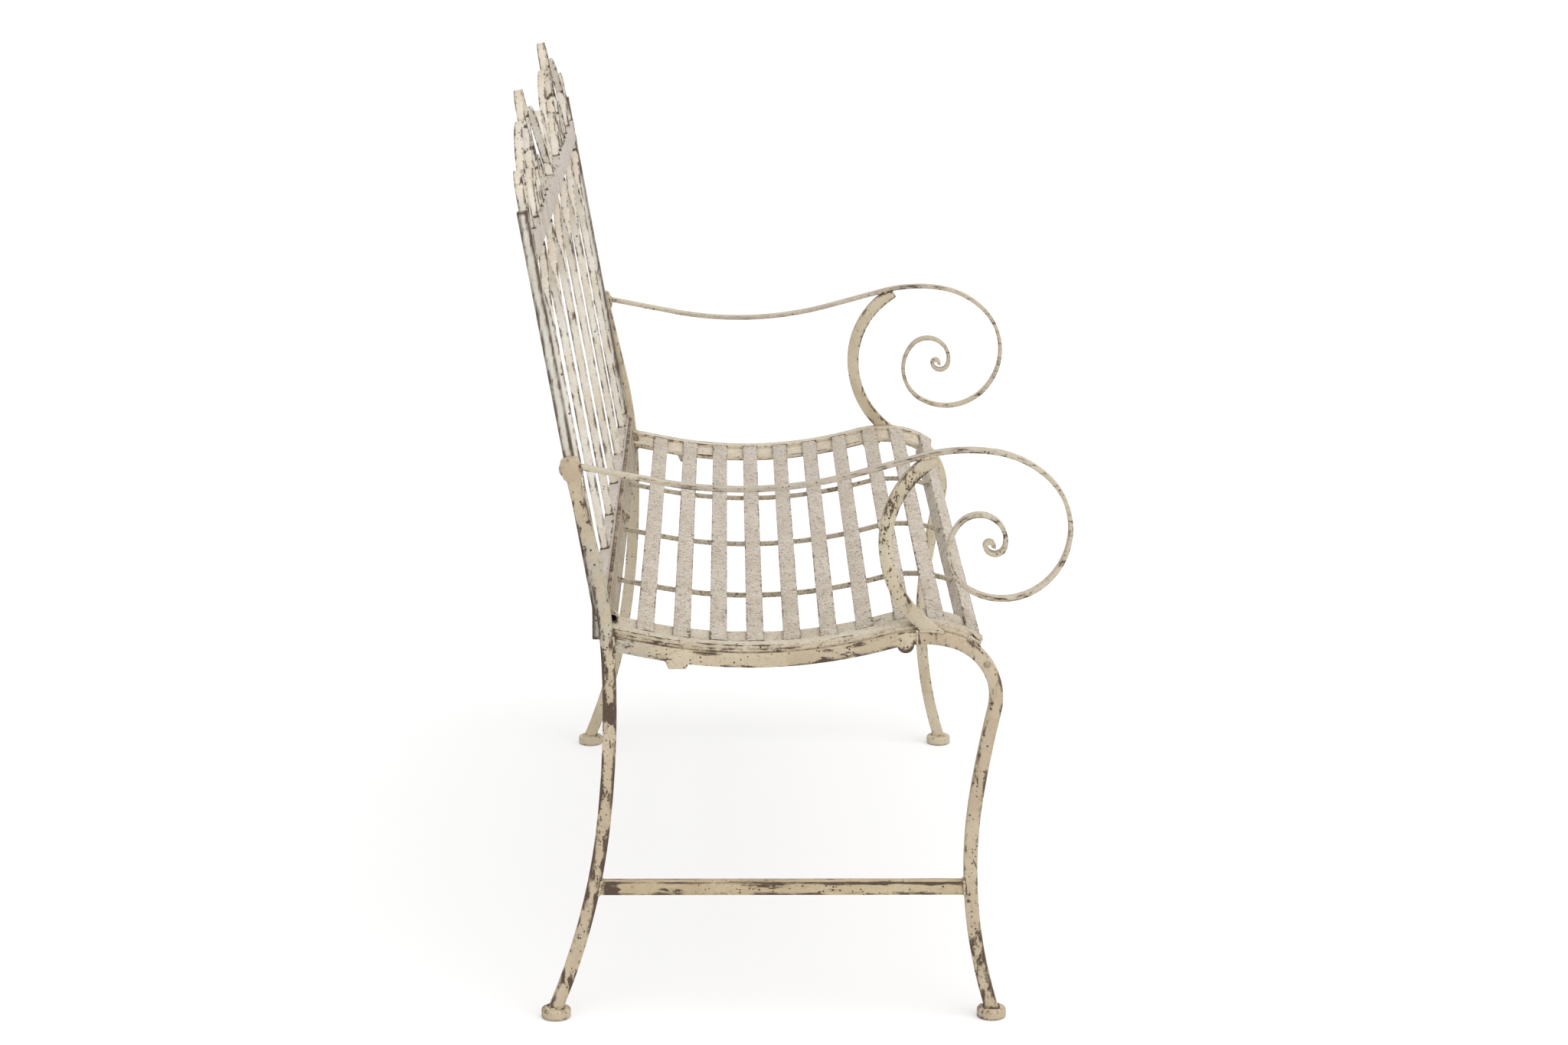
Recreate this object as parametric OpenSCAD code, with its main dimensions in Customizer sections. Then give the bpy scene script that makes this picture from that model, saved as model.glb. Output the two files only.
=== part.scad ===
// Metal garden bench: two side frames of bent square bar with scrolled arms, a dished seat of
// flat slats, and a leaning back of paired ribbons that part into an interlaced arch crest.
// Millimetres, +Z up, the sitter looks along -Y and the sitter's right hand is at -X.

/* [Bench] */
// Width over the two side frames
bench_w = 1114; // [1060:1:1170]
// Lean of the back from upright, in degrees
lean = 10.115; // [9.6:0.005:10.6]

/* [Side frames] */
// Width of a side frame bar, across the bench
bar_w = 14; // [12:0.5:16]
// Depth of a side frame bar, seen from the side
bar_t = 15; // [13.5:0.5:16]
// Height of the stretcher's middle over the ground
stretcher_z = 152; // [120:1:180]
// Height of the stretcher bar
stretcher_h = 14.5; // [12:0.5:18]
// Diameter of a foot disc
foot_d = 32.5; // [28:0.5:38]
// Height of a foot disc
foot_h = 11.5; // [9:0.5:13]
// Rounding of a foot disc's rims
foot_round = 2.5; // [1:0.5:4]

/* [Arms] */
// Thickness of the arm band
band_t = 4.6; // [3.5:0.1:6]
// Depth of the curved bar under the arm
support_t = 15; // [12:0.5:17]

/* [Back] */
// Width of a stile, across the bench
stile_w = 12; // [10:0.5:14]
// Thickness of the stiles and of the two rails
back_t = 12; // [11:0.5:13]
// Height of the top rail, along the back
top_rail_h = 27.4; // [22:0.1:32]
// Height of the bottom rail, along the back
bottom_rail_h = 40; // [34:0.5:44]
// Thickness of a ribbon, seen from the front
ribbon_t = 5; // [4:0.1:6]
// Depth of a ribbon, front to back
ribbon_d = 9.4; // [8:0.1:11]

/* [Seat] */
// Width of a slat
slat_w = 19; // [15:0.5:24]
// Thickness of a slat
slat_t = 3.2; // [2.5:0.1:4]
// Thickness of the side flanges that carry the slats
flange_t = 4.5; // [3.5:0.1:5.5]
// Width of a side flange
flange_w = 75; // [60:1:90]
// Thickness of the flat bar behind the seat
seat_rail_t = 4; // [3:0.1:5]
// Diameter of the rods under the slats
rod_d = 5; // [4:0.1:6.5]
// Height of the front slat's turned-down edge
edge_h = 16; // [12:0.5:20]

/* [Hidden] */
$fn = 64;
curve_fn = 300;
curve_err = 0.02;
fit_gap = 0.3;

// Bends, each [radius, turn in degrees]; radius 0 is a straight of that length.
// Side view: the first number of a place is how far forward it is, the second its height.
foot_tuck = 8;
front_foot = [242.2, 11.6, 107.5];
leg_bends = [[0, foot_tuck], [557.5, -26.1], [1290, -4.2], [66.4, 88], [126.4, 17.5]];
rail_bends = [[126.4, 13], [573, -27.1], [0, 41]];
knee_skip = 64;
flange_bends = [[66.4, 88 - knee_skip], [126.4, 30.5], [573, -27.1], [0, 60]];
rear_foot = [-243.8, 12.2, 67.7];
rear_bends = [[0, foot_tuck], [796, 16.1], [1226.5, 8.2], [647, 11], [0, 102]];
arm_start = [-230.4, 631.5, -11];
arm_reach = [[0, 104.7], [466.6, 26.4], [0, 74.8], [191.7, -23.9]];
arm_scroll = [[108.6, -34.4], [79.5, -94.8], [70.2, -69.6], [49.8, -100.5], [28.8, -154.3],
    [11.2, -147.7], [4.6, -220]];
arm_all = concat(arm_reach, arm_scroll);
support_top = [160.9, 630, -142.5];
support_lead = 14;
support_bends = [[0, support_lead], [107.4, 50.6], [120.8, 28.1], [117.1, 27], [0, 16]];

half_w = bench_w / 2;
stile_x = half_w - bar_w;
rail_x = stile_x - stile_w;
front_start = ahead(front_foot, -foot_tuck);
rear_start = ahead(rear_foot, -foot_tuck);
seam = end_pose(front_start, leg_bends);
knee_start = end_pose(front_start, [for (i = [0 : 2]) leg_bends[i]]);
flange_start = step(knee_start, [leg_bends[3][0], knee_skip]);

// Arm joint: a rounded block on top of the rear leg, with a bolt head behind it.
boss_w = 21;
boss_h = 24;
boss_round = 5;
boss = end_pose(rear_start, rear_bends);
bolt_d = 12;
bolt_h = 3;

// Lugs under the side rail, a rivet on the knee.
lug = [141.8, 430.5];
lug_r = 9.3;
tab = [[-121, 4], [-117, -4.6], [-98, -4.6], [-94, 4]];
tab_z = 408;
rivet = [231, 408.6];
rivet_d = 8;
rivet_h = 1.4;

// Back, measured along its slope from the ground.
back_y = 116.8;
stile_foot = [-194.4, 433, 90];
stile_top = 918;
stile_bend_r = 60;
bottom_rail_top = 478;
top_rail_low = 859.3;
rail_top = top_rail_low + top_rail_h;
seat_rail_low = 429;
seat_rail_h = 40;
// The back is drawn for a rail of this half length and grows with it.
drawn_rail_x = 531;
k = rail_x / drawn_rail_x;
bay = 179 * k;
ribbon_off = (back_t - ribbon_d) / 2;
ribbon_gap = 0.3;
fork_rise = 119.2 * k;
fork_bends = [[90 * k, -64.46], [90 * k, 30.46], [0, 40]];
arch_start = [-64.3 * k, rail_top, 76.6];
arch_bends = [[0, foot_tuck], [129 * k, -41.7], [133.3 * k, -25.8], [176.5 * k, -48],
    [793.4 * k, 7.7]];
loop_x = 59.5 * k;
loop_r = 51.5 * k;
loop_sink = 5.5 * k;
peak_r = 27 * k;
peak_rise = 101.6 * k;
middle_rise = 46.7 * k;
side_rise = 39 * k;
hairpin_gap = 12 * k;

// Seat.
flange_inset = 6;
flange_free = half_w - flange_inset - flange_w - fit_gap;
// A flat bar of slat stock lies along each flange and the slats end against it.
edge_bar_inset = 9;
slat_half = half_w - edge_bar_inset - slat_w - fit_gap;
slat_count = 9;
slat_pitch = 41.6;
slat_lead = 12.2;
front_pitch = 33;
front_slat_w = 17;
front_slat_lead = 57;
seat_top = bar_t / 2 + flange_t + fit_gap;
rod_pitch = 1.458 * bay;
rod_shift = 0.193 * bay;
seat_bolt_x = rail_x - 30;
seat_bolt_s = 453;
hole_d = 8;
washer_d = 17;
washer_t = 1.2;
nut_d = 13;
nut_h = 5;

// The scroll is foremost where it points straight down.
scroll_start = end_pose(arm_start, concat(arm_reach, [arm_scroll[0]]));
foremost = step(scroll_start, [arm_scroll[1][0], -90 - scroll_start[2]])[0] + band_t / 2;
rearmost = back_y + (rail_top + peak_rise + peak_r + ribbon_t / 2) * sin(lean)
    - ribbon_off * cos(lean);
mid_y = (foremost - rearmost) / 2;

paint_warm = [0.80, 0.75, 0.63];
paint_white = [0.89, 0.88, 0.83];
paint_grey = [0.79, 0.75, 0.70];
metal_dark = [0.36, 0.34, 0.32];

// A pose is [x, y, heading]. A bend list is followed from it, left turns positive.
function ahead(p, d) = [p[0] + d * cos(p[2]), p[1] + d * sin(p[2]), p[2]];
function step(p, s) = s[0] == 0 ? ahead(p, s[1])
    : let (g = sign(s[1]) * s[0], h = p[2] + s[1])
        [p[0] + g * (sin(h) - sin(p[2])), p[1] - g * (cos(h) - cos(p[2])), h];
function end_pose(p, bends, i = 0) = i == len(bends) ? p
    : end_pose(step(p, bends[i]), bends, i + 1);
function run_of(s) = s[0] == 0 ? s[1] : s[0] * abs(s[1]) * PI / 180;
function pose_at(p, bends, d, i = 0) = let (l = run_of(bends[i]))
    d <= l || i == len(bends) - 1 ? step(p, [bends[i][0], bends[i][1] * d / l])
        : pose_at(step(p, bends[i]), bends, d - l, i + 1);
// The same line shifted to the right of the way it is followed.
function beside(p, d) = [p[0] + d * sin(p[2]), p[1] - d * cos(p[2]), p[2]];
function beside_bends(bends, d) = [for (s = bends) s[0] == 0 ? s : [s[0] + sign(s[1]) * d, s[1]]];

module from(p) translate([p[0], p[1]]) rotate(p[2]) children();

// Forward place at which a bend list reaches the height z, between the runs a and b.
function forward_at(p, bends, z, a = 0, b = 400, n = 24) = let (m = (a + b) / 2)
    n == 0 ? pose_at(p, bends, m)[0]
        : pose_at(p, bends, m)[1] < z ? forward_at(p, bends, z, m, b, n - 1)
            : forward_at(p, bends, z, a, m, n - 1);

// Poses along a bend list, close enough that no chord strays more than curve_err.
function trail(p, bends, i = 0) = i == len(bends) ? [p]
    : let (s = bends[i],
            n = s[0] == 0 ? 1 : ceil(abs(s[1]) / (2 * acos(1 - curve_err / s[0]))))
        concat([for (q = [0 : n - 1]) step(p, [s[0], s[1] * q / n])],
            trail(step(p, s), bends, i + 1));

// Outline of a strip of thickness t that follows a bend list from the pose p.
module strip(p, bends, t) {
    line = trail(p, bends);
    last = len(line) - 1;
    polygon(concat([for (q = line) xy(beside(q, t / 2))],
        [for (i = [0 : last]) xy(beside(line[last - i], -t / 2))]));
}
function xy(p) = [p[0], p[1]];

// Side view outline to a solid of width w from x.
module side_space(x) translate([x, mid_y, 0]) mirror([0, 1, 0]) rotate([90, 0, 90]) children();
module side(x, w) side_space(x) linear_extrude(height = w) children();

// Outline drawn on the back's rear face to a solid from off to off + d in front of it.
module back_space() translate([0, mid_y + back_y, 0]) rotate([90 - lean, 0, 0]) children();
module back(off, d) back_space() translate([0, 0, off]) linear_extrude(height = d) children();

module round_box(w, h, r) {
    translate([-w / 2 + r, -h / 2]) square([w - 2 * r, h]);
    translate([-w / 2, -h / 2 + r]) square([w, h - 2 * r]);
    for (x = [-1, 1], y = [-1, 1]) translate([x * (w / 2 - r), y * (h / 2 - r)]) circle(r);
}

module dome(d, h) {
    rim = h * 0.35;
    cylinder(d = d, h = rim);
    big = (d * d / 4 + (h - rim) * (h - rim)) / (2 * (h - rim));
    intersection() {
        translate([0, 0, h - big]) sphere(big);
        translate([0, 0, rim]) cylinder(d = d, h = h);
    }
}

module below_foot_top() translate([-half_w, -half_w]) square([2 * half_w, half_w + foot_h]);

module front_leg_outline() difference() {
    strip(front_start, leg_bends, bar_t);
    below_foot_top();
}

module rear_leg_outline() {
    difference() {
        strip(rear_start, rear_bends, bar_t);
        below_foot_top();
    }
    boss_outline();
}

module boss_outline() from(boss) round_box(boss_h, boss_w, boss_round);

module arm_outline() difference() {
    strip(arm_start, arm_all, band_t);
    boss_outline();
}

module arm_cover() {
    up = 10;
    strip(beside(arm_start, -up), beside_bends(arm_reach, -up), 2 * up + band_t);
}

module support_outline() difference() {
    strip(ahead(support_top, -support_lead), support_bends, support_t);
    arm_cover();
    front_leg_outline();
    strip(seam, rail_bends, bar_t);
}

module side_rail_outline() difference() {
    union() {
        strip(seam, rail_bends, bar_t);
        translate(lug) circle(lug_r);
        translate([0, tab_z]) polygon(tab);
    }
    rear_leg_outline();
}

module front_leg() color(paint_warm) side(-half_w, bar_w) front_leg_outline();
module rear_leg() color(paint_warm) side(-half_w, bar_w) rear_leg_outline();
module side_rail() color(paint_warm) side(-half_w, bar_w) side_rail_outline();
module arm() color(paint_warm) side(-half_w, bar_w) arm_outline();
module arm_support() color(paint_warm) side(-half_w, bar_w) support_outline();

module stretcher() color(paint_warm) side(-half_w, bar_w) difference() {
    rear = forward_at(rear_start, rear_bends, stretcher_z);
    front = forward_at(front_start, leg_bends, stretcher_z);
    translate([rear, stretcher_z - stretcher_h / 2]) square([front - rear, stretcher_h]);
    front_leg_outline();
    rear_leg_outline();
}

module foot(y) color(paint_warm) translate([-half_w + bar_w / 2, mid_y - y, 0])
    rotate_extrude() {
        square([foot_d / 2 - foot_round, foot_h]);
        translate([0, foot_round]) square([foot_d / 2, foot_h - 2 * foot_round]);
        for (z = [foot_round, foot_h - foot_round])
            translate([foot_d / 2 - foot_round, z]) circle(foot_round);
    }
module front_foot() foot(front_foot[0]);
module rear_foot() foot(rear_foot[0]);

// Outline of a strip that lies the given height over the middle of the side rail.
module seat_strip(low, t) strip(beside(flange_start, low + t / 2),
    beside_bends(flange_bends, low + t / 2), t);

module seat_flange() color(paint_warm) difference() {
    union() {
        side(-half_w + flange_inset, flange_w) seat_strip(bar_t / 2, flange_t);
        side(-half_w + edge_bar_inset, slat_w)
            seat_strip(bar_t / 2, flange_t + fit_gap + slat_t);
    }
    side(-half_w, bar_w) rear_leg_outline();
    side(-half_w, bar_w) support_outline();
    behind_seat_rail();
    bolt_notch();
}

// All that lies behind the seat rail's front face.
module behind_seat_rail() back(-half_w, half_w + back_t + seat_rail_t)
    translate([-half_w, 0]) square([2 * half_w, rail_top]);

// Room in the flange's rear end for a washer and a bolt head.
module bolt_notch() back(back_t, seat_rail_t + washer_t + bolt_h + fit_gap)
    translate([-seat_bolt_x - washer_d / 2 - fit_gap, seat_rail_low])
        square([washer_d + 2 * fit_gap, seat_rail_h]);

module stile() color(paint_white) side(-stile_x, stile_w) {
    axis = -back_y + back_t / 2 / cos(lean);
    corner_z = (stile_foot[0] - axis) / -tan(lean);
    tangent = stile_bend_r * tan(lean / 2);
    top = (stile_top * cos(lean) - corner_z) / cos(lean) - tangent;
    strip(stile_foot, [[0, corner_z - tangent - stile_foot[1]], [stile_bend_r, lean], [0, top]],
        back_t);
}

module top_rail() color(paint_white) back(0, back_t)
    translate([-rail_x, top_rail_low]) square([2 * rail_x, top_rail_h]);

module seat_bolt_holes() for (i = [-1 : 1]) translate([i * seat_bolt_x, seat_bolt_s])
    circle(d = hole_d);

module bottom_rail() color(paint_white) back(0, back_t) difference() {
    translate([-rail_x, bottom_rail_top - bottom_rail_h]) square([2 * rail_x, bottom_rail_h]);
    seat_bolt_holes();
}

module seat_rail() color(paint_grey) back(back_t, seat_rail_t) difference() {
    translate([-stile_x, seat_rail_low]) square([2 * stile_x, seat_rail_h]);
    seat_bolt_holes();
}

module seat_bolts() color(metal_dark) back_space() for (i = [0 : 1])
    translate([i * seat_bolt_x, seat_bolt_s, 0]) {
        translate([0, 0, -nut_h]) cylinder(d = nut_d, h = nut_h, $fn = 6);
        cylinder(d = hole_d - 2 * fit_gap, h = back_t + seat_rail_t);
        translate([0, 0, back_t + seat_rail_t]) {
            cylinder(d = washer_d, h = washer_t);
            translate([0, 0, washer_t]) dome(bolt_d, bolt_h);
        }
    }

module arm_bolts() color(metal_dark) for (m = [0, 1]) mirror([m, 0, 0])
    side_space(-half_w + bar_w / 2) translate([boss[0], boss[1], 0]) rotate([0, 0, boss[2]])
        translate([0, boss_w / 2, 0]) rotate([-90, 0, 0]) dome(bolt_d, bolt_h);

module knee_rivets() color(metal_dark) for (m = [0, 1]) mirror([m, 0, 0])
    side_space(-half_w) translate([rivet[0], rivet[1], 0]) rotate([180, 0, 0])
        dome(rivet_d, rivet_h);

// Two ribbons side by side that part below the top rail; i counts bars from the middle.
module bar(i) color(paint_white) back(ribbon_off, ribbon_d) intersection() {
    straight = top_rail_low - fork_rise - bottom_rail_top;
    translate([(i - 0.5) * bay, 0]) for (m = [0, 1]) mirror([m, 0]) intersection() {
        strip([(ribbon_t + ribbon_gap) / 2, bottom_rail_top, 90],
            concat([[0, straight]], fork_bends), ribbon_t);
        square([bay / 2, top_rail_low]);
    }
    translate([-rail_x, 0]) square([2 * rail_x, top_rail_low]);
}

// Crest outlines for the right half, drawn on the back.
module right_zone() intersection() {
    translate([-rail_x, rail_top]) square([rail_x, 2 * bay]);
    children();
}
module arch_outer() right_zone() translate([-1.5 * bay, 0])
    strip(ahead(arch_start, -foot_tuck), arch_bends, ribbon_t);
module arch_inner() right_zone() translate([-1.5 * bay, 0]) mirror([1, 0])
    strip(ahead(arch_start, -foot_tuck), arch_bends, ribbon_t);
module hairpin(r, rise) strip([r, rail_top, 90], [[0, rise], [r, 180], [0, rise]], ribbon_t);
module loops() for (m = [-1, 1]) intersection() {
    translate([-1.5 * bay + m * loop_x, rail_top - loop_sink]) difference() {
        circle(loop_r + ribbon_t / 2, $fn = curve_fn);
        circle(loop_r - ribbon_t / 2, $fn = curve_fn);
    }
    translate([-rail_x, rail_top]) square([rail_x, 2 * bay]);
}
module peak() translate([-1.5 * bay, 0]) hairpin(peak_r, peak_rise);
module side_hairpin() translate([peak_r + hairpin_gap - rail_x, 0]) hairpin(peak_r, side_rise);
module centre_hairpin() hairpin(peak_r, middle_rise);
module both() for (m = [0, 1]) mirror([m, 0]) children();

// Where two ribbons cross each gives up half its depth: one its rear half, one its front half.
module full_depth() back(ribbon_off, ribbon_d) children();
module rear_half() back(ribbon_off, ribbon_d / 2) children();
module front_half() back(ribbon_off + ribbon_d / 2, ribbon_d / 2) children();

module right_arch_outer() color(paint_white) difference() {
    full_depth() arch_outer();
    rear_half() { arch_inner(); loops(); peak(); side_hairpin(); centre_hairpin(); }
}
module right_arch_inner() color(paint_white) difference() {
    full_depth() arch_inner();
    front_half() arch_outer();
    rear_half() { loops(); peak(); side_hairpin(); centre_hairpin(); }
}
module right_loops() color(paint_white) difference() {
    full_depth() loops();
    front_half() { arch_outer(); arch_inner(); }
    rear_half() peak();
}
module right_peak() color(paint_white) difference() {
    full_depth() peak();
    front_half() { arch_outer(); arch_inner(); loops(); }
}
module right_hairpin() color(paint_white) difference() {
    full_depth() side_hairpin();
    front_half() { arch_outer(); arch_inner(); }
}
module middle_hairpin() color(paint_white) difference() {
    full_depth() centre_hairpin();
    front_half() both() { arch_outer(); arch_inner(); }
}

// Seat line poses, measured back from the seam of the front leg and the side rail.
function seat_pose(d) = pose_at(flange_start, flange_bends,
    run_of(flange_bends[0]) + run_of(leg_bends[4]) + d);

// A slat's own flat outline space: its middle at 0, x to the rear and y down.
module slat_space(d) from(beside(seat_pose(d), seat_top + slat_t / 2)) children();

// The eight rear slats are evenly spaced, the ninth lies closer.
function slat_run(i) = slat_lead
    + (i < slat_count ? (slat_count - 1 - i) * slat_pitch : -front_pitch);

module slat(i) color(paint_grey) side(-slat_half, 2 * slat_half) slat_space(slat_run(i))
    translate([-slat_w / 2, -slat_t / 2]) square([slat_w, slat_t]);

// An angle: its top lies on the flanges, its edge hangs down between them.
module front_slat() color(paint_grey) {
    side(-slat_half, 2 * slat_half) slat_space(-front_slat_lead)
        translate([-front_slat_w / 2, -slat_t / 2]) square([front_slat_w, slat_t]);
    side(-flange_free, 2 * flange_free) slat_space(-front_slat_lead)
        translate([front_slat_w / 2 - slat_t, -slat_t / 2]) square([slat_t, edge_h]);
}

// A rod from the front slat's edge to the seat rail, close under the slats.
module cross_rod(x) color(paint_grey) difference() {
    side(x - rod_d / 2, rod_d) difference() {
        seat_strip(seat_top - fit_gap - rod_d, rod_d);
        slat_space(-front_slat_lead)
            translate([front_slat_w / 2 - half_w, -half_w]) square([half_w, 2 * half_w]);
    }
    behind_seat_rail();
}

module left() mirror([1, 0, 0]) children();

front_leg();  // right_front_leg
rear_leg();  // right_rear_leg
side_rail();  // right_side_rail
stretcher();  // right_stretcher
front_foot();  // right_front_foot
rear_foot();  // right_rear_foot
arm();  // right_arm
arm_support();  // right_arm_support
seat_flange();  // right_seat_flange
stile();  // right_stile
left() front_leg();  // left_front_leg
left() rear_leg();  // left_rear_leg
left() side_rail();  // left_side_rail
left() stretcher();  // left_stretcher
left() front_foot();  // left_front_foot
left() rear_foot();  // left_rear_foot
left() arm();  // left_arm
left() arm_support();  // left_arm_support
left() seat_flange();  // left_seat_flange
left() stile();  // left_stile
top_rail();
bottom_rail();
bar(0);  // right_bar_1
bar(-1);  // right_bar_2
bar(-2);  // right_bar_3
bar(1);  // left_bar_1
bar(2);  // left_bar_2
bar(3);  // left_bar_3
right_arch_outer();
right_arch_inner();
right_loops();
right_peak();
right_hairpin();
left() right_arch_outer();  // left_arch_outer
left() right_arch_inner();  // left_arch_inner
left() right_loops();  // left_loops
left() right_peak();  // left_peak
left() right_hairpin();  // left_hairpin
middle_hairpin();
slat(1);  // slat_1
slat(2);  // slat_2
slat(3);  // slat_3
slat(4);  // slat_4
slat(5);  // slat_5
slat(6);  // slat_6
slat(7);  // slat_7
slat(8);  // slat_8
slat(9);  // slat_9
front_slat();
seat_rail();
cross_rod(-rod_shift - rod_pitch);  // rod_1
cross_rod(-rod_shift);  // rod_2
cross_rod(-rod_shift + rod_pitch);  // rod_3
seat_bolts();
arm_bolts();
knee_rivets();
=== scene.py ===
import math
import random

import bmesh
import bpy
from mathutils import Matrix, Vector
from mathutils.bvhtree import BVHTree


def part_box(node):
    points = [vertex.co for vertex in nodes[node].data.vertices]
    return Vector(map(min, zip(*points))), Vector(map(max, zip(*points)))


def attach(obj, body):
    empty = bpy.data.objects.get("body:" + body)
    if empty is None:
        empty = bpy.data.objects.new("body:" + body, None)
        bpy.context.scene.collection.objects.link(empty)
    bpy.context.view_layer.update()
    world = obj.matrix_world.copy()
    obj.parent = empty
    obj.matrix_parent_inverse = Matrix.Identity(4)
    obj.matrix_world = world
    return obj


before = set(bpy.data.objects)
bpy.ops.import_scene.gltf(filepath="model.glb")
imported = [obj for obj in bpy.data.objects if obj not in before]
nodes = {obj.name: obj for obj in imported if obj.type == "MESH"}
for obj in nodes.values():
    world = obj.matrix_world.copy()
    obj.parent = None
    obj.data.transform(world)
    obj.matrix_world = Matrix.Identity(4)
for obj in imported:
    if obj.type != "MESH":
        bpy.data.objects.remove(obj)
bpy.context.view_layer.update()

MM = 0.001

SIDES = ("right", "left")
BACK_RIBBONS = ("bar_1", "bar_2", "bar_3")
CREST_RIBBONS = ("arch_outer", "arch_inner", "loops", "peak", "hairpin")
SLATS = [f"slat_{i}" for i in range(1, 10)]
RODS = [f"rod_{i}" for i in range(1, 4)]

# Points nearer than this are one point, and faces within this angle are one flat.
SAME_POINT = 0.02 * MM
SAME_FLAT = math.radians(0.2)

# Colours that the coats share: paint tanned by the sun, rust stain, dirt with painted shade in the
# crevices, an older coat, iron.
SUN_TAN = "#B9A27F"
RUST_STAIN = "#93805F"
CREVICE_DIRT_AND_SHADE = "#6E5B46"
OLD_GREY_COAT = "#B3B7AE"
DARK_IRON = "#3D2F26"
BROWN_IRON = "#6B5847"


def srgb(hex_value):
    """An sRGB hex value as the linear colour that a shader takes."""
    channels = [int(hex_value[i:i + 2], 16) / 255 for i in (1, 3, 5)]
    linear = [c / 12.92 if c <= 0.04045 else ((c + 0.055) / 1.055) ** 2.4 for c in channels]
    return (*linear, 1)


def add_node(tree, kind, inputs=None, **settings):
    """Adds a node with its settings; inputs maps a socket's name or number to a value or a link."""
    node = tree.nodes.new(kind)
    for name, value in settings.items():
        setattr(node, name, value)
    for key, value in (inputs or {}).items():
        if isinstance(value, bpy.types.NodeSocket):
            tree.links.new(value, node.inputs[key])
        else:
            node.inputs[key].default_value = value
    return node


def new_tree(name):
    """An empty material and its node tree."""
    material = bpy.data.materials.new(name)
    material.use_nodes = True
    material.node_tree.nodes.clear()
    return material, material.node_tree


def cells_per_metre(size_mm):
    """The scale of a pattern with cells of about this width: a whole number of them in a metre."""
    return round(1 / (size_mm * MM))


def near_edge(tree, rim_mm):
    """How near an edge of the bar, felt from inside it: 0 on its flats, 1 on the edge."""
    rim = add_node(tree, "ShaderNodeAmbientOcclusion", {"Distance": rim_mm * MM}, samples=10,
                   inside=True, only_local=True)
    return add_node(tree, "ShaderNodeMapRange", {"Value": rim.outputs["AO"], "From Min": 0.96,
                                                 "From Max": 0.64}).outputs[0]


def near_place(tree, coords, middle_mm, reach_mm, most):
    """How near a worn place: most around its middle, fading to 0 from 0.6 to 1.15 of its reach."""
    gap = add_node(tree, "ShaderNodeVectorMath", {0: coords, 1: Vector(middle_mm) * MM},
                   operation="DISTANCE")
    return add_node(tree, "ShaderNodeMapRange",
                    {"Value": gap.outputs["Value"], "From Min": 1.15 * reach_mm * MM,
                     "From Max": 0.6 * reach_mm * MM, "To Max": most},
                    interpolation_type="SMOOTHSTEP").outputs[0]


def going_stretches(tree, along):
    """Stretches of a few centimetres in which the paint is going."""
    stretch = add_node(tree, "ShaderNodeTexNoise",
                       {"Vector": along, "Scale": cells_per_metre(45), "Detail": 2})
    return add_node(tree, "ShaderNodeMapRange",
                    {"Value": stretch.outputs["Fac"], "From Min": 0.44, "From Max": 0.60},
                    interpolation_type="SMOOTHSTEP").outputs[0]


def rust_pits(tree, place, flakes, causes):
    """Uneven rust pits 0.5 to 2 mm across; causes holds what makes them more likely and by how
    much."""
    cells = add_node(tree, "ShaderNodeTexVoronoi",
                     {"Vector": place, "Scale": cells_per_metre(3.7)})
    ragged = add_node(tree, "ShaderNodeMath", {0: flakes, 1: -1.1, 2: cells.outputs["Distance"]},
                      operation="MULTIPLY_ADD").outputs[0]
    dot = add_node(tree, "ShaderNodeMapRange",
                   {"Value": ragged, "From Min": -0.22, "From Max": -0.32})
    likely = cells.outputs["Color"]
    for cause, weight in causes:
        likely = add_node(tree, "ShaderNodeMath", {0: cause, 1: weight, 2: likely},
                          operation="MULTIPLY_ADD").outputs[0]
    chosen = add_node(tree, "ShaderNodeMath", {0: likely, 1: 0.83}, operation="GREATER_THAN")
    return add_node(tree, "ShaderNodeMath", {0: dot.outputs[0], 1: chosen.outputs[0]},
                    operation="MULTIPLY").outputs[0]


def clouded_coat(tree, place, coat, shade):
    """The coat as age has clouded it, in soft patches of about 5 cm."""
    clouds = add_node(tree, "ShaderNodeTexNoise", {"Vector": place, "Scale": cells_per_metre(53),
                                                   "Detail": 5, "Roughness": 0.6})
    clouded = add_node(tree, "ShaderNodeMapRange",
                       {"Value": clouds.outputs["Fac"], "From Min": 0.36, "From Max": 0.66})
    return add_node(tree, "ShaderNodeMix", {0: clouded.outputs[0], 6: srgb(coat), 7: srgb(shade)},
                    data_type="RGBA").outputs[2]


def upper_faces(tree, strength):
    """How far a face looks up, to sun and rain, times strength."""
    geometry = add_node(tree, "ShaderNodeNewGeometry")
    tilt = add_node(tree, "ShaderNodeSeparateXYZ", {0: geometry.outputs["Normal"]})
    return add_node(tree, "ShaderNodeMath", {0: tilt.outputs["Z"], 1: strength},
                    operation="MULTIPLY", use_clamp=True).outputs[0]


def thin_patches(tree, coords, score, middle_mm, reach_mm, most):
    """Soft patches where a coat is rubbed thin round a place, which is given as (y, z)."""
    flat = add_node(tree, "ShaderNodeVectorMath", {0: coords, 1: (0, 1, 1)},
                    operation="MULTIPLY").outputs[0]
    near = near_place(tree, flat, (0, *middle_mm), reach_mm, 0.22)
    thin = add_node(tree, "ShaderNodeMath", {0: near, 1: score}, operation="ADD").outputs[0]
    return add_node(tree, "ShaderNodeMapRange", {"Value": thin, "From Min": 0.60,
                                                 "From Max": 0.84, "To Max": most}).outputs[0]


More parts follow.
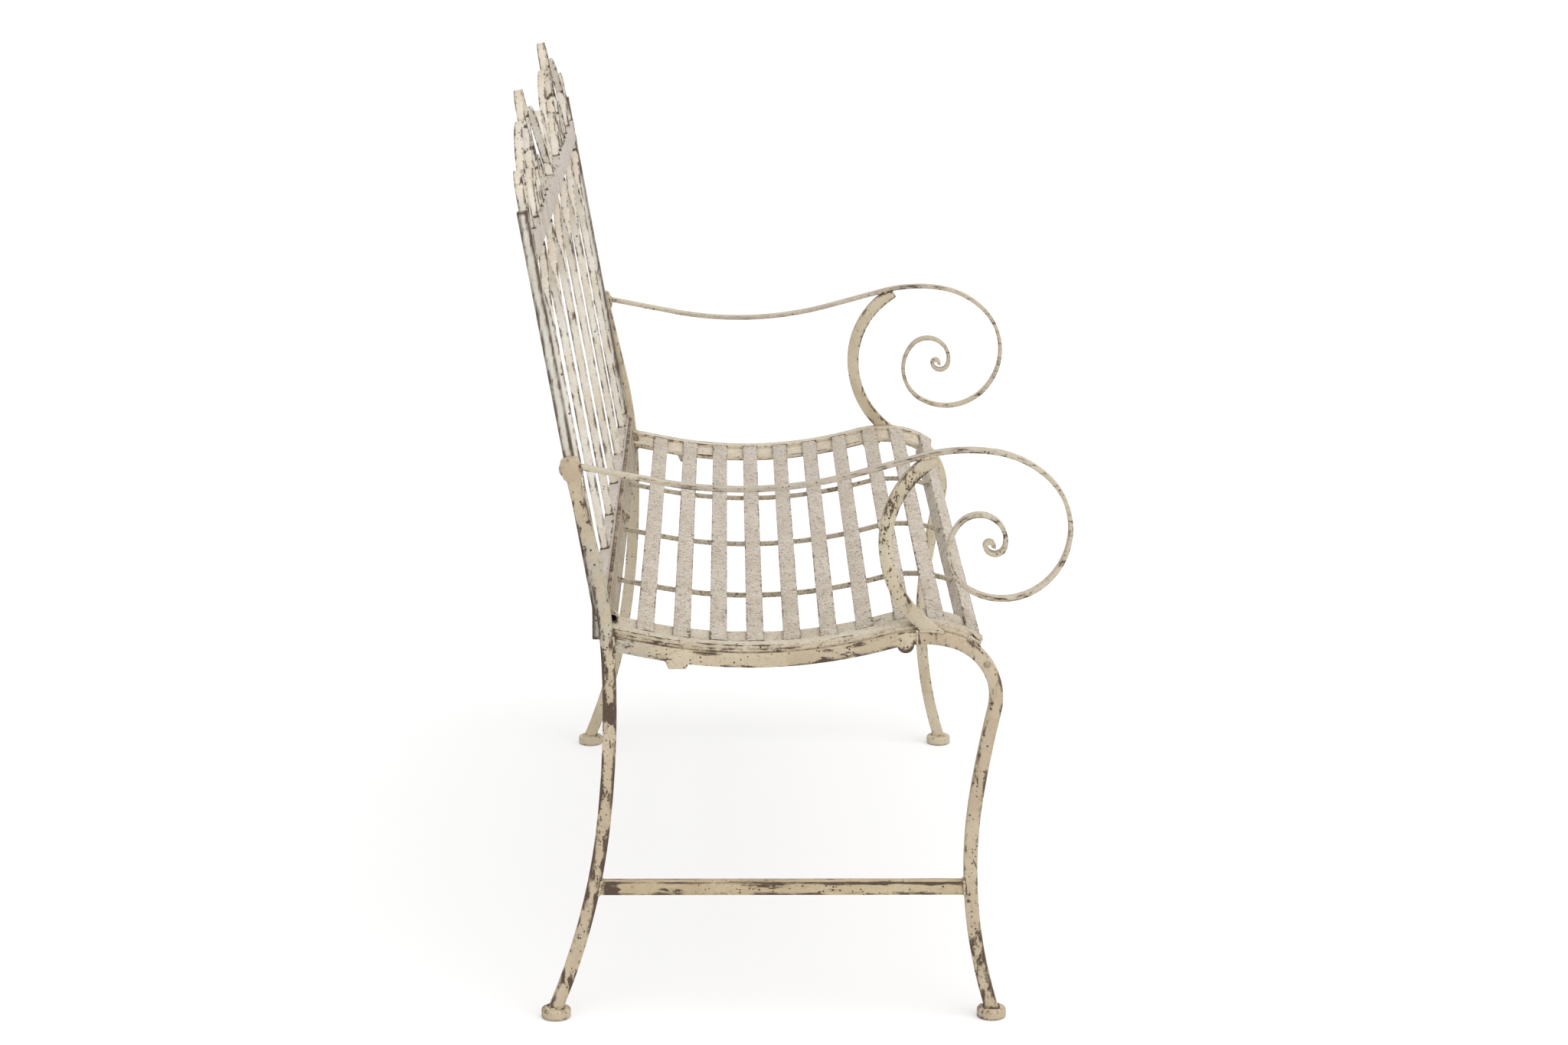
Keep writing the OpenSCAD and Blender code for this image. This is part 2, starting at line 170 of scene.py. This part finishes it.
def broken_marks(tree, place, most):
    """Short broken marks 2 to 4 mm long."""
    broken = add_node(tree, "ShaderNodeTexNoise",
                      {"Vector": place, "Scale": cells_per_metre(4.35), "Detail": 2,
                       "Roughness": 0.5, "Distortion": 1.6}).outputs["Fac"]
    return add_node(tree, "ShaderNodeMapRange", {"Value": broken, "From Min": 0.57,
                                                 "From Max": 0.66, "To Max": most}).outputs[0]


def crevice_dirt_and_shade(tree):
    """Where two pieces meet: dirt that settles there and painted shade, darkest in the corner and
    reaching 5 mm from it.
    """
    crevice = add_node(tree, "ShaderNodeAmbientOcclusion", {"Distance": 5 * MM}, samples=6)
    return add_node(tree, "ShaderNodeMapRange",
                    {"Value": crevice.outputs["AO"], "From Min": 0.72, "From Max": 0.25,
                     "To Max": 0.75}).outputs[0]


# Old brushed paint over dark oxidised iron: rubbed through in ragged strips along the edges,
# peppered with rust pits, dulled by dirt and painted shade in every crevice.
def aged_paint(name, coat, shade, mark, run=(1, 1, 1), edge_wear=0.30, chips=0.03, pits=0.03,
               marks=0.25, rubbed=None, sunned=0.0, worn=(), rim_mm=3.0, steady=0.4,
               seed=0.0):
    """coat and shade are the paint's two tones and mark is the tone of its grain; edge_wear,
    chips, pits and marks are how much of each there is; run stretches the wear along the bars;
    rubbed holds (colour below the coat, place in mm, reach in mm, share), on both sides; sunned
    is how much the upper faces are tanned; worn holds (place in mm, reach in mm, strength);
    rim_mm is how far from an edge its wear reaches; steady is how much of that wear is found
    where the coat still holds."""
    material, tree = new_tree(name)
    coords = add_node(tree, "ShaderNodeTexCoord").outputs["Object"]
    place = add_node(tree, "ShaderNodeVectorMath", {0: coords, 1: (seed, 0.7 * seed, -seed)},
                     operation="ADD").outputs[0]
    along = add_node(tree, "ShaderNodeVectorMath", {0: place, 1: run},
                     operation="MULTIPLY").outputs[0]

    # What takes the paint off: edges, weak stretches, and the places that rub or splash has hit.
    going = going_stretches(tree, along)
    loose = add_node(tree, "ShaderNodeMapRange", {"Value": going, "To Min": steady}).outputs[0]
    edge_going = add_node(tree, "ShaderNodeMath", {0: near_edge(tree, rim_mm), 1: loose},
                          operation="MULTIPLY").outputs[0]
    hit = 0.0
    for middle_mm, reach_mm, strength in worn:
        near = near_place(tree, coords, middle_mm, reach_mm, strength)
        hit = add_node(tree, "ShaderNodeMath", {0: near, 1: hit}, operation="ADD").outputs[0]

    # Ragged flakes 1 to 6 mm across and the pits between them lay the iron bare.
    flakes = add_node(tree, "ShaderNodeTexNoise",
                      {"Vector": along, "Scale": cells_per_metre(6.67), "Detail": 5,
                       "Roughness": 0.64, "Distortion": 0.35}).outputs["Fac"]
    score = flakes
    for cause, weight in ((edge_going, edge_wear), (going, chips), (hit, 0.8)):
        score = add_node(tree, "ShaderNodeMath", {0: cause, 1: weight, 2: score},
                         operation="MULTIPLY_ADD").outputs[0]
    chip = add_node(tree, "ShaderNodeMapRange", {"Value": score, "From Min": 0.68,
                                                 "From Max": 0.70}).outputs[0]
    pit = rust_pits(tree, place, flakes, ((going, pits), (hit, 5), (edge_going, 0.35)))
    bare = add_node(tree, "ShaderNodeMath", {0: chip, 1: pit}, operation="MAXIMUM").outputs[0]

    # Grain of the sanded coat, about 1 mm, and a thin brown stain round every flake.
    grain = add_node(tree, "ShaderNodeTexNoise",
                     {"Vector": place, "Scale": cells_per_metre(2.38), "Detail": 3,
                      "Roughness": 0.7}).outputs["Fac"]
    grained = add_node(tree, "ShaderNodeMapRange", {"Value": grain, "From Min": 0.45,
                                                    "From Max": 0.68, "To Max": marks}).outputs[0]
    stained = add_node(tree, "ShaderNodeMapRange", {"Value": score, "From Min": 0.60,
                                                    "From Max": 0.69, "To Max": 0.5}).outputs[0]

    # The coat, and over it what sun, hands, sanding, rust and dirt have left, in that order; the
    # dirt carries painted shade in the crevices.
    paint = clouded_coat(tree, place, coat, shade)
    layers = [(upper_faces(tree, sunned), SUN_TAN)]
    if rubbed:
        below, middle_mm, reach_mm, share = rubbed
        layers.append((thin_patches(tree, coords, score, middle_mm, reach_mm, share), below))
    # Crevice dirt and painted shade go on last, darkening the coat where pieces meet.
    layers += [(grained, mark), (broken_marks(tree, place, 2.2 * marks), mark),
               (stained, RUST_STAIN), (crevice_dirt_and_shade(tree), CREVICE_DIRT_AND_SHADE)]
    for share, colour in layers:
        paint = add_node(tree, "ShaderNodeMix", {0: share, 6: paint, 7: srgb(colour)},
                         data_type="RGBA").outputs[2]
    iron = add_node(tree, "ShaderNodeMix", {0: grain, 6: srgb(DARK_IRON), 7: srgb(BROWN_IRON)},
                    data_type="RGBA").outputs[2]
    surface = add_node(tree, "ShaderNodeMix", {0: bare, 6: paint, 7: iron},
                       data_type="RGBA").outputs[2]

    # The paint stands a little proud of the iron and is slightly lumpy.
    lumps = add_node(tree, "ShaderNodeMath", {0: grain, 1: 0.35}, operation="MULTIPLY").outputs[0]
    height = add_node(tree, "ShaderNodeMath", {0: lumps, 1: bare}, operation="SUBTRACT").outputs[0]
    bump = add_node(tree, "ShaderNodeBump", {"Height": height, "Strength": 0.6,
                                             "Distance": 0.2 * MM})
    rough = add_node(tree, "ShaderNodeMapRange", {"Value": bare, "To Min": 0.58, "To Max": 0.8})
    shader = add_node(tree, "ShaderNodeBsdfPrincipled",
                      {"Base Color": surface, "Roughness": rough.outputs[0],
                       "Normal": bump.outputs["Normal"], "IOR": 1.48})
    add_node(tree, "ShaderNodeOutputMaterial", {"Surface": shader.outputs[0]})
    return material


def edge_softener():
    """Geometry nodes that shade smooth across shallow bends and keep real corners."""
    tree = bpy.data.node_groups.new("soft_shading", "GeometryNodeTree")
    tree.interface.new_socket("Geometry", in_out="INPUT", socket_type="NodeSocketGeometry")
    tree.interface.new_socket("Geometry", in_out="OUTPUT", socket_type="NodeSocketGeometry")
    start = add_node(tree, "NodeGroupInput")
    plain = add_node(tree, "GeometryNodeRemoveAttribute",
                     {"Geometry": start.outputs[0], "Name": "custom_normal"})
    faces = add_node(tree, "GeometryNodeSetShadeSmooth", {"Geometry": plain.outputs[0]},
                     domain="FACE")
    angle = add_node(tree, "GeometryNodeInputMeshEdgeAngle")
    sharp = add_node(tree, "FunctionNodeCompare",
                     {0: angle.outputs["Unsigned Angle"], 1: math.radians(48)},
                     operation="GREATER_THAN")
    edges = add_node(tree, "GeometryNodeSetShadeSmooth",
                     {"Geometry": faces.outputs[0], "Selection": sharp.outputs[0],
                      "Shade Smooth": False}, domain="EDGE")
    add_node(tree, "NodeGroupOutput", {0: edges.outputs[0]})
    return tree


soft_shading = edge_softener()


def finish_node(node, material, edge_mm, facets, whole_flats=True):
    """Gives a CAD node its paint and the rounded edges of rolled bar; whole_flats joins the
    facets of each flat before its edges are rounded."""
    piece = nodes[node]
    for slot in piece.material_slots:
        slot.material = material
    weld = piece.modifiers.new("weld", "WELD")
    weld.merge_threshold = SAME_POINT
    if whole_flats:
        flat = piece.modifiers.new("flat", "DECIMATE")
        flat.decimate_type = "DISSOLVE"
        flat.angle_limit = SAME_FLAT
    rounding = piece.modifiers.new("rounding", "BEVEL")
    rounding.width = edge_mm * MM
    rounding.segments = facets
    rounding.limit_method = "ANGLE"
    rounding.angle_limit = math.radians(32)
    shading = piece.modifiers.new("shading", "NODES")
    shading.node_group = soft_shading


def clean_mesh(node):
    """A CAD node's mesh with its seams closed and its flats whole, as a bmesh."""
    mesh = bmesh.new()
    mesh.from_mesh(nodes[node].data)
    mesh.transform(nodes[node].matrix_world)
    bmesh.ops.remove_doubles(mesh, verts=mesh.verts, dist=SAME_POINT)
    bmesh.ops.dissolve_limit(mesh, angle_limit=SAME_FLAT, verts=mesh.verts, edges=mesh.edges)
    return mesh


def seams(node, onto, gap_mm=0.4):
    """The sharp edges of one node that lie on another node's surface, as pairs of places."""
    mesh = clean_mesh(node)
    under = clean_mesh(onto)
    surface = BVHTree.FromBMesh(under)
    found = []
    for edge in mesh.edges:
        if not edge.is_manifold or edge.calc_face_angle(0) < math.radians(35):
            continue
        a, b = (v.co.copy() for v in edge.verts)
        places = (a, b, (a + b) / 2)
        if all(surface.find_nearest(p, gap_mm * MM)[0] is not None for p in places):
            found.append((a, b))
    mesh.free()
    under.free()
    return found


def add_piece(name, data):
    """Puts a mesh on the bench as a piece of its own."""
    piece = bpy.data.objects.new(name, data)
    bpy.context.scene.collection.objects.link(piece)
    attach(piece, "root")


def weld_beads(name, lines, bead_mm, paint, seed):
    """Lumpy weld beads along lines: overlapping drops, each a little off the line and out of
    round. Small drops have fewer faces."""
    chance = random.Random(seed)
    drop = bmesh.new()
    bmesh.ops.create_icosphere(drop, subdivisions=2 if bead_mm > 1.2 else 1, radius=bead_mm * MM)
    drop_places = [v.co.copy() for v in drop.verts]
    drop_faces = [[v.index for v in face.verts] for face in drop.faces]
    drop.free()
    places, faces = [], []
    for a, b in lines:
        count = max(1, round((b - a).length / (bead_mm * MM)))
        for i in range(count + 1):
            stray = [chance.uniform(-0.15, 0.15) * bead_mm * MM for _ in range(3)]
            middle = a.lerp(b, i / count) + Vector(stray)
            size = Vector([chance.uniform(0.7, 1.15) for _ in range(3)])
            faces += [[len(places) + v for v in face] for face in drop_faces]
            places += [middle + v * size for v in drop_places]
    data = bpy.data.meshes.new(name)
    data.from_pydata(places, [], faces)
    data.shade_smooth()
    data.materials.append(paint)
    add_piece(name, data)


def bolt_sleeve(name, middle, paint, bore_paint, depth_mm, outer_mm=6.2, bore_mm=3.8,
                length_mm=12, chamfer_mm=0.8, sides=24):
    """A short sleeve that lies along the bench, with a recess in the end at the right side."""
    sleeve = bmesh.new()
    left_end = length_mm / 2
    right_end = -left_end
    rings = []
    for radius, along in ((outer_mm, left_end), (outer_mm, right_end + chamfer_mm),
                          (outer_mm - chamfer_mm, right_end), (bore_mm, right_end),
                          (bore_mm, right_end + depth_mm)):
        turns = [math.tau * i / sides for i in range(sides)]
        rings.append([sleeve.verts.new(middle + MM * Vector(
            (along, radius * math.cos(t), radius * math.sin(t)))) for t in turns])
    for a, b in zip(rings, rings[1:]):
        for i in range(sides):
            face = sleeve.faces.new((a[i], a[i - 1], b[i - 1], b[i]))
            face.material_index = int(b is rings[-1])
    sleeve.faces.new(rings[0])
    sleeve.faces.new(rings[-1]).material_index = 1
    bmesh.ops.recalc_face_normals(sleeve, faces=sleeve.faces)
    data = bpy.data.meshes.new(name)
    sleeve.to_mesh(data)
    sleeve.free()
    data.materials.append(paint)
    data.materials.append(bore_paint)
    add_piece(name, data)


# The middle of the near side frame, across the bench, in mm. Worn places are given from there,
# from the bench's middle and from the ground.
NEAR = sum(corner.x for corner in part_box("right_rear_leg")) / 2 / MM

# Warm beige side frames. The near frame has lost most: the rear leg is pitted from the seat to
# the stretcher with one bare band, the lower front leg and the foot of the rear leg are scraped.
# Behind the arm a blue grey older coat shows through.
legs_worn = (((NEAR, 196, 352), 15, 0.17), ((NEAR, 197, 300), 140, 0.10),
             ((NEAR, 200, 400), 60, 0.08), ((NEAR, 215, 150), 70, 0.07),
             ((NEAR - 2, 240, 46), 17, 0.20), ((NEAR, -215, 62), 44, 0.15),
             ((NEAR, -206, 150), 70, 0.04))
leg_paint = aged_paint("warm_beige_leg_paint", "#CCBCA2", "#BFAD92", "#A08C70", run=(1, 1, 0.4),
                       worn=legs_worn, rubbed=(OLD_GREY_COAT, (206, 492), 75, 0.55),
                       edge_wear=0.26, chips=0.04, pits=0.12, marks=0.18, rim_mm=6.0, steady=0.5)
# The far frame's legs carry less wear, and their coat is lighter than the near legs' as painted
# light, making up for the lesser light on the far frame.
far_leg_paint_with_painted_light = aged_paint("far_leg_paint_painted_lighter", "#D3C7AF", "#C3B499", "#A5937A",
                           run=(1, 1, 0.3), edge_wear=0.14, marks=0.17, rim_mm=4.0, seed=0.6)
# The rails carry their chips in long strips below the top edge.
rails_worn = (((NEAR - 7, -60, 424), 34, 0.05), ((NEAR - 7, 150, 424), 34, 0.08))
rail_paint = aged_paint("warm_beige_rail_paint", "#D3C5AB", "#C0AF93", "#A38F72", run=(1, 0.3, 1),
                        worn=rails_worn, rubbed=(OLD_GREY_COAT, (176, 430), 36, 0.5),
                        edge_wear=0.21, chips=0.05, marks=0.19, rim_mm=6.0, seed=1.1)
# The flanges on the rails are sanded like the seat, but warmer.
flange_paint = aged_paint("sanded_flange_paint", "#DACFBB", "#CABDA5", "#8F7F69",
                          run=(1, 0.4, 1), edge_wear=0.22, chips=0.03, marks=0.30, seed=7.3)
# The stretchers' coat is darker than the rails', as painted shade on the low bars; shoes have worn
# a dark line along both edges.
stretcher_worn = (((NEAR - 7, 195, 152), 11, 0.24), ((NEAR - 7, 60, 163), 22, 0.06),
                  ((NEAR - 7, 10, 163), 22, 0.06), ((NEAR - 7, -70, 150), 30, 0.05))
stretcher_paint_with_painted_shade = aged_paint("stretcher_paint_painted_darker", "#CAB999", "#B6A281", "#9A8566",
                             run=(1, 0.18, 1), worn=stretcher_worn, edge_wear=0.22, chips=0.04,
                             marks=0.18, rim_mm=4.5, seed=8.6)
# Knocks have bared the curved arm supports from the arm down to half their height.
supports_worn = (((NEAR - 3, -140, 612), 18, 0.17), ((NEAR - 3, -118, 585), 20, 0.12),
                 ((NEAR - 3, -108, 552), 22, 0.08), ((NEAR - 3, -120, 500), 40, 0.03))
support_paint = aged_paint("cream_support_paint", "#D1C6AE", "#C0B196", "#A38F72",
                           run=(1, 1, 0.4), worn=supports_worn, edge_wear=0.24, chips=0.02,
                           marks=0.14, rim_mm=4.5, seed=2.2)
# Hands have rubbed the middle of the arms down to a pinkish grey coat; both ends stay cream.
arm_paint = aged_paint("rubbed_arm_paint", "#D0C5AF", "#BFB29B", "#96866F", run=(1, 0.35, 1),
                       edge_wear=0.20, chips=0.02, pits=0.0, marks=0.22,
                       rubbed=("#ADA39A", (-40, 650), 200, 0.75), seed=3.1)
# The stiles keep a cool ivory, with ragged dark edges.
stile_paint = aged_paint("ivory_stile_paint", "#DCD9CF", "#CFCABC", "#A99D86", run=(1, 1, 0.25),
                         edge_wear=0.56, chips=0.02, pits=0.02, marks=0.14, rim_mm=6.0,
                         steady=0.7, seed=1.7)
# The ribbons of the back are ivory with brown edges and warm stains.
ribbon_paint = aged_paint("ivory_ribbon_paint", "#EFEAE0", "#E1D6C3", "#9C8767",
                          run=(0.55, 0.55, 0.3), edge_wear=0.27, chips=0.0, pits=-0.2,
                          marks=0.12, sunned=0.35, rim_mm=3.4, steady=0.8, seed=4.2)
# Rain has left the two cross rails of the back pinkish grey.
cross_rail_paint = aged_paint("weathered_cross_rail_paint", "#CFC5BB", "#BDB0A3", "#948678",
                              run=(0.3, 1, 1), edge_wear=0.22, chips=0.02, pits=0.0, marks=0.26,
                              seed=2.9)
# The seat is sanded: a warm grey beige, finely speckled all over, with few real chips.
slats_worn = (((NEAR + 30, 120, 440), 45, 0.06), ((NEAR + 30, -70, 425), 40, 0.04))
slat_paint = aged_paint("sanded_slat_paint", "#D6CCBD", "#C5B9A7", "#746451", run=(0.5, 1, 1),
                        worn=slats_worn, edge_wear=0.24, chips=0.0, pits=0.03, marks=0.54,
                        seed=5.2)
# Grime has settled on the bar behind the seat, the rods and the bolts.
grimy_paint = aged_paint("grimy_seat_paint", "#B6A78F", "#9A8B73", "#5F5244", run=(0.4, 0.4, 1),
                         edge_wear=0.26, chips=0.05, pits=0.04, marks=0.40, seed=6.3)
rod_paint = aged_paint("dull_rod_paint", "#BDB19C", "#A59882", "#6B5F50", edge_wear=0.10,
                       chips=0.05, marks=0.38, seed=9.4)
bolt_paint = aged_paint("grimy_bolt_paint", "#C9BCA3", "#A6997F", "#6B5F4E", edge_wear=0.14,
                        chips=0.05, marks=0.3, seed=4.4)


def make_bore_painted_shade():
    """Painted shade deep in an open bore: a matt, nearly black colour where the bore lies in shade.
    """
    material, tree = new_tree("bore_painted_shade")
    matt = add_node(tree, "ShaderNodeBsdfPrincipled",
                    {"Base Color": srgb("#241A13"), "Roughness": 0.9})
    add_node(tree, "ShaderNodeOutputMaterial", {"Surface": matt.outputs[0]})
    return material


bore_painted_shade = make_bore_painted_shade()

# How each kind of bar is rounded along its edges: by how many mm, and with how many facets.
SQUARE_BAR = (1.3, 3)
BACK_BAR = (1.2, 3)
STRETCHER_BAR = (1.0, 3)
RIBBON = (0.8, 2)
ARM_BAND = (0.7, 2)
THIN_STRIP = (0.6, 2)
ROUND_ROD = (1.9, 3)
FOOT_DISC = (0.3, 1)
BOLT_HEAD = (0.25, 1)

for side, own_leg_paint in zip(SIDES, (leg_paint, far_leg_paint_with_painted_light)):
    for part, paint, kind in (("front_leg", own_leg_paint, SQUARE_BAR),
                              ("rear_leg", own_leg_paint, SQUARE_BAR),
                              ("side_rail", rail_paint, SQUARE_BAR),
                              ("stretcher", stretcher_paint_with_painted_shade, STRETCHER_BAR),
                              ("arm_support", support_paint, SQUARE_BAR),
                              ("arm", arm_paint, ARM_BAND),
                              ("seat_flange", flange_paint, THIN_STRIP),
                              ("stile", stile_paint, BACK_BAR),
                              ("front_foot", own_leg_paint, FOOT_DISC),
                              ("rear_foot", own_leg_paint, FOOT_DISC)):
        finish_node(f"{side}_{part}", paint, *kind)
    for part in BACK_RIBBONS + CREST_RIBBONS:
        finish_node(f"{side}_{part}", ribbon_paint, *RIBBON)
finish_node("middle_hairpin", ribbon_paint, *RIBBON, whole_flats=False)
for rail in ("top_rail", "bottom_rail"):
    finish_node(rail, cross_rail_paint, *BACK_BAR)
finish_node("seat_rail", grimy_paint, *THIN_STRIP)
for slat in ["front_slat"] + SLATS:
    finish_node(slat, slat_paint, *THIN_STRIP)
for rod in RODS:
    finish_node(rod, rod_paint, *ROUND_ROD)
for heads in ("seat_bolts", "arm_bolts", "knee_rivets"):
    finish_node(heads, bolt_paint, *BOLT_HEAD)


def weld_side_frame(side, number):
    """Beads where the bars of a side frame meet."""
    lines = []
    for part, onto in (("front_leg", "front_foot"), ("rear_leg", "rear_foot"),
                       ("stretcher", "front_leg"), ("stretcher", "rear_leg"),
                       ("side_rail", "front_leg"), ("side_rail", "rear_leg"),
                       ("arm_support", "arm"), ("arm_support", "side_rail"),
                       ("arm_support", "front_leg"), ("arm", "rear_leg"), ("stile", "rear_leg")):
        lines += seams(f"{side}_{part}", f"{side}_{onto}")
    weld_beads(f"{side}_frame_welds", lines, bead_mm=1.6,
               paint=support_paint, seed=number)


def weld_knee(side, number, run_out_mm=9):
    """A bigger run of weld under which the front end of a flange runs out on the leg."""
    flange_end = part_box(f"{side}_seat_flange")[0].y + run_out_mm * MM
    lines = [line for line in seams(f"{side}_seat_flange", f"{side}_front_leg", gap_mm=1.0)
             if min(line[0].y, line[1].y) < flange_end]
    weld_beads(f"{side}_knee_welds", lines, bead_mm=2.3,
               paint=leg_paint, seed=40 + number)


def weld_back(side, number):
    """Small beads at the ribbons' ends and where the two cross rails meet a stile."""
    lines = []
    for part in CREST_RIBBONS:
        lines += seams(f"{side}_{part}", "top_rail")
    for part in BACK_RIBBONS:
        lines += seams(f"{side}_{part}", "top_rail")
        lines += seams(f"{side}_{part}", "bottom_rail")
    for rail in ("top_rail", "bottom_rail"):
        lines += seams(rail, f"{side}_stile")
    weld_beads(f"{side}_back_welds", lines, bead_mm=0.9,
               paint=ribbon_paint, seed=10 + number)


def weld_slats(side, number):
    """Fine beads where the slats lie on a flange, at the ends of the front slat too."""
    lines = []
    for slat in ["front_slat"] + SLATS:
        lines += seams(slat, f"{side}_seat_flange")
    weld_beads(f"{side}_slat_welds", lines, bead_mm=0.7,
               paint=slat_paint, seed=20 + number)


def weld_rods():
    """Beads at the rods' ends and under the middle hairpin."""
    lines = seams("middle_hairpin", "top_rail")
    for rod in RODS:
        lines += seams(rod, "front_slat") + seams(rod, "seat_rail")
    weld_beads("rod_welds", lines, bead_mm=1.0, paint=rod_paint, seed=30)


for number, side in enumerate(SIDES):
    weld_side_frame(side, number)
    weld_knee(side, number)
    weld_back(side, number)
    weld_slats(side, number)
weld_rods()


def sleeves_on_seat_rail(half_washer_mm=8.5, behind_domes_mm=2.5):
    """Three short sleeves on the bar behind the seat: the near one open, the others closed with
    paint. The solids have a bolt at the middle and the far place."""
    low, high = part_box("seat_bolts")
    far_bolt = high.x - half_washer_mm * MM
    y = low.y + behind_domes_mm * MM
    z = (low.z + high.z) / 2
    # The near sleeve's open bore is lined with painted shade; the closed ones take the rod paint.
    for name, x, bore_paint, depth_mm in (("near_bolt_sleeve", -far_bolt, bore_painted_shade, 9),
                                          ("middle_bolt_sleeve", 0, rod_paint, 1),
                                          ("far_bolt_sleeve", far_bolt, rod_paint, 1)):
        bolt_sleeve(name, Vector((x, y, z)), bolt_paint, bore_paint, depth_mm)


sleeves_on_seat_rail()


def place_camera():
    """The photograph's camera, fitted to the two side frames: it looks down on the sitter's right
    side from eye height, and a little towards the front."""
    place = (-4.580, 0.0668, 1.4816)
    pitch, yaw, roll = (math.radians(degrees) for degrees in (12.798, 0.873, 0.203))
    forward = Vector((math.cos(pitch) * math.cos(yaw), -math.cos(pitch) * math.sin(yaw),
                      -math.sin(pitch)))
    right = Vector((-math.sin(yaw), -math.cos(yaw), 0))
    up = Vector((math.sin(pitch) * math.cos(yaw), -math.sin(pitch) * math.sin(yaw),
                 math.cos(pitch)))
    rolled_right = math.cos(roll) * right + math.sin(roll) * up
    rolled_up = math.cos(roll) * up - math.sin(roll) * right
    data = bpy.data.cameras.new("camera")
    data.lens = 87.51
    data.sensor_width = 36
    camera = bpy.data.objects.new("camera", data)
    bpy.context.scene.collection.objects.link(camera)
    turn = Matrix((rolled_right, rolled_up, -forward)).transposed().to_4x4()
    camera.matrix_world = Matrix.Translation(place) @ turn
    bpy.context.scene.camera = camera


def shown_directly(tree):
    """1 where the camera sees a thing itself, in a gloss or through glass, 0 where it only gives
    light."""
    path = add_node(tree, "ShaderNodeLightPath")
    shown = path.outputs["Is Camera Ray"]
    for ray in ("Is Glossy Ray", "Is Transmission Ray"):
        shown = add_node(tree, "ShaderNodeMath", {0: shown, 1: path.outputs[ray]},
                         operation="MAXIMUM").outputs[0]
    return shown


def even_sky(light=0.72):
    """A sky that shows white and lights the bench evenly."""
    world = bpy.data.worlds.new("studio")
    world.use_nodes = True
    tree = world.node_tree
    tree.nodes.clear()
    strength = add_node(tree, "ShaderNodeMapRange", {"Value": shown_directly(tree),
                                                     "To Min": light, "To Max": 1.0})
    sky = add_node(tree, "ShaderNodeBackground",
                   {"Color": (1, 1, 1, 1), "Strength": strength.outputs[0]})
    add_node(tree, "ShaderNodeOutputWorld", {"Surface": sky.outputs[0]})
    bpy.context.scene.world = world


def soft_lamp():
    """One wide soft lamp above, in front and on the near side."""
    lamp = bpy.data.lights.new("soft_lamp", "SUN")
    lamp.energy = 1.5
    lamp.angle = math.radians(70)
    holder = bpy.data.objects.new("soft_lamp", lamp)
    holder.rotation_euler = Vector((-0.55, -0.35, 0.75)).to_track_quat("Z", "Y").to_euler()
    bpy.context.scene.collection.objects.link(holder)


def pale_floor(grey=0.72, lift=0.31):
    """A matt pale floor, lifted to white where it is seen, that keeps the bench's shadow."""
    bpy.ops.mesh.primitive_grid_add(size=60, x_subdivisions=1, y_subdivisions=1,
                                    location=(0, 0, 0))
    floor = bpy.context.object
    floor.name = "floor"
    material, tree = new_tree("pale_floor")
    matt = add_node(tree, "ShaderNodeBsdfDiffuse", {"Color": (grey, grey, grey, 1)})
    glow = add_node(tree, "ShaderNodeMath", {0: shown_directly(tree), 1: lift},
                    operation="MULTIPLY").outputs[0]
    glow = add_node(tree, "ShaderNodeEmission", {"Color": (1, 1, 1, 1), "Strength": glow})
    both = add_node(tree, "ShaderNodeAddShader", {0: matt.outputs[0], 1: glow.outputs[0]})
    add_node(tree, "ShaderNodeOutputMaterial", {"Surface": both.outputs[0]})
    floor.data.materials.append(material)


place_camera()
even_sky()
soft_lamp()
pale_floor()
bpy.context.scene.view_settings.view_transform = "Standard"
